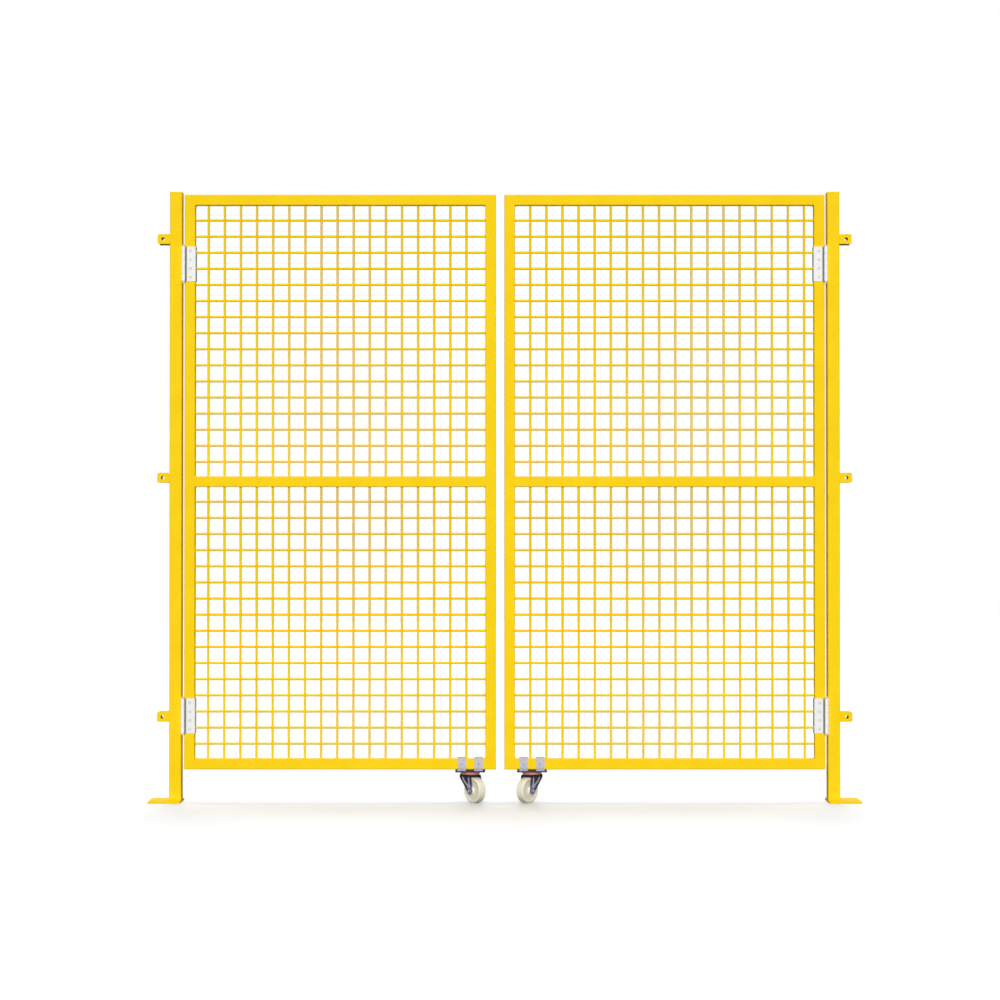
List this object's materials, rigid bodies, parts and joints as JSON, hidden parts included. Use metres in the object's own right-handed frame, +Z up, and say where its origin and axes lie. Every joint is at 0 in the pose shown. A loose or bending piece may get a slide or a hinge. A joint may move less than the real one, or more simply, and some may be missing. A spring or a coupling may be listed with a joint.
{
  "type": "double swing mesh safety gate",
  "caption": "Double-leaf swing gate of welded wire mesh in tube frames, hinged on floor-bolted posts with side lugs, with a swivel caster under each leaf.",
  "frame": {"origin": "on the floor at the axis of the left post, on the underside of its base plate", "axes": "+X across the opening to the right post, +Y away from the side the leaves open to, +Z up"},
  "size_m": [2.2, 0.1129, 1.891],
  "materials": {
    "yellow_paint": "glossy safety-yellow powder coat",
    "hinge_steel": "pale satin steel",
    "bracket_zinc": "bright zinc plate",
    "caster_steel": "dark bluish grey plate",
    "race_paint": "red-brown dust ring",
    "wheel_nylon": "cream nylon, satin",
    "bright_steel": "plain turned steel"
  },
  "bodies": {
    "posts": {"left_post": "yellow_paint", "left_post_cap": "yellow_paint", "left_base_plate": "yellow_paint", "left_panel_lugs": "yellow_paint", "left_hinge_post_plates": "hinge_steel", "left_hinge_pins": "bright_steel", "right_post": "yellow_paint", "right_post_cap": "yellow_paint", "right_base_plate": "yellow_paint", "right_panel_lugs": "yellow_paint", "right_hinge_post_plates": "hinge_steel", "right_hinge_pins": "bright_steel"},
    "left_leaf": {"left_hinge_stile": "yellow_paint", "left_meeting_stile": "yellow_paint", "left_top_rail": "yellow_paint", "left_mid_rail": "yellow_paint", "left_bottom_rail": "yellow_paint", "left_upper_mesh": "yellow_paint", "left_lower_mesh": "yellow_paint", "left_hinge_gate_plates": "hinge_steel", "left_caster_plate": "caster_steel", "left_caster_brackets": "bracket_zinc", "left_swivel_race": "race_paint", "left_kingpin": "bright_steel"},
    "left_fork": {"left_caster_fork": "caster_steel", "left_caster_axle": "caster_steel"},
    "left_wheel": {"left_caster_wheel": "wheel_nylon"},
    "right_leaf": {"right_hinge_stile": "yellow_paint", "right_meeting_stile": "yellow_paint", "right_top_rail": "yellow_paint", "right_mid_rail": "yellow_paint", "right_bottom_rail": "yellow_paint", "right_upper_mesh": "yellow_paint", "right_lower_mesh": "yellow_paint", "right_hinge_gate_plates": "hinge_steel", "right_caster_plate": "caster_steel", "right_caster_brackets": "bracket_zinc", "right_swivel_race": "race_paint", "right_kingpin": "bright_steel"},
    "right_fork": {"right_caster_fork": "caster_steel", "right_caster_axle": "caster_steel"},
    "right_wheel": {"right_caster_wheel": "wheel_nylon"}
  },
  "joints": [
    {"name": "left_leaf_swing", "type": "hinge", "parent": "posts", "child": "left_leaf", "pos_m": [0.02455, -0.02455, 0.1015], "axis": [0, 0, -1], "range_deg": [0, 180]},
    {"name": "left_caster_swivel", "type": "hinge", "parent": "left_leaf", "child": "left_fork", "pos_m": [0.9125, -0.0065, 0.0865], "axis": [0, 0, 1], "continuous": true},
    {"name": "left_wheel_spin", "type": "hinge", "parent": "left_fork", "child": "left_wheel", "pos_m": [0.92728, -0.02541, 0.039], "axis": [0.788, 0.6157, 0], "continuous": true},
    {"name": "right_leaf_swing", "type": "hinge", "parent": "posts", "child": "right_leaf", "pos_m": [2.01345, -0.02455, 0.1015], "axis": [0, 0, 1], "range_deg": [0, 180]},
    {"name": "right_caster_swivel", "type": "hinge", "parent": "right_leaf", "child": "right_fork", "pos_m": [1.1035, -0.0065, 0.0865], "axis": [0, 0, 1], "continuous": true},
    {"name": "right_wheel_spin", "type": "hinge", "parent": "right_fork", "child": "right_wheel", "pos_m": [1.08872, -0.02541, 0.039], "axis": [0.788, -0.6157, 0], "continuous": true}
  ]
}
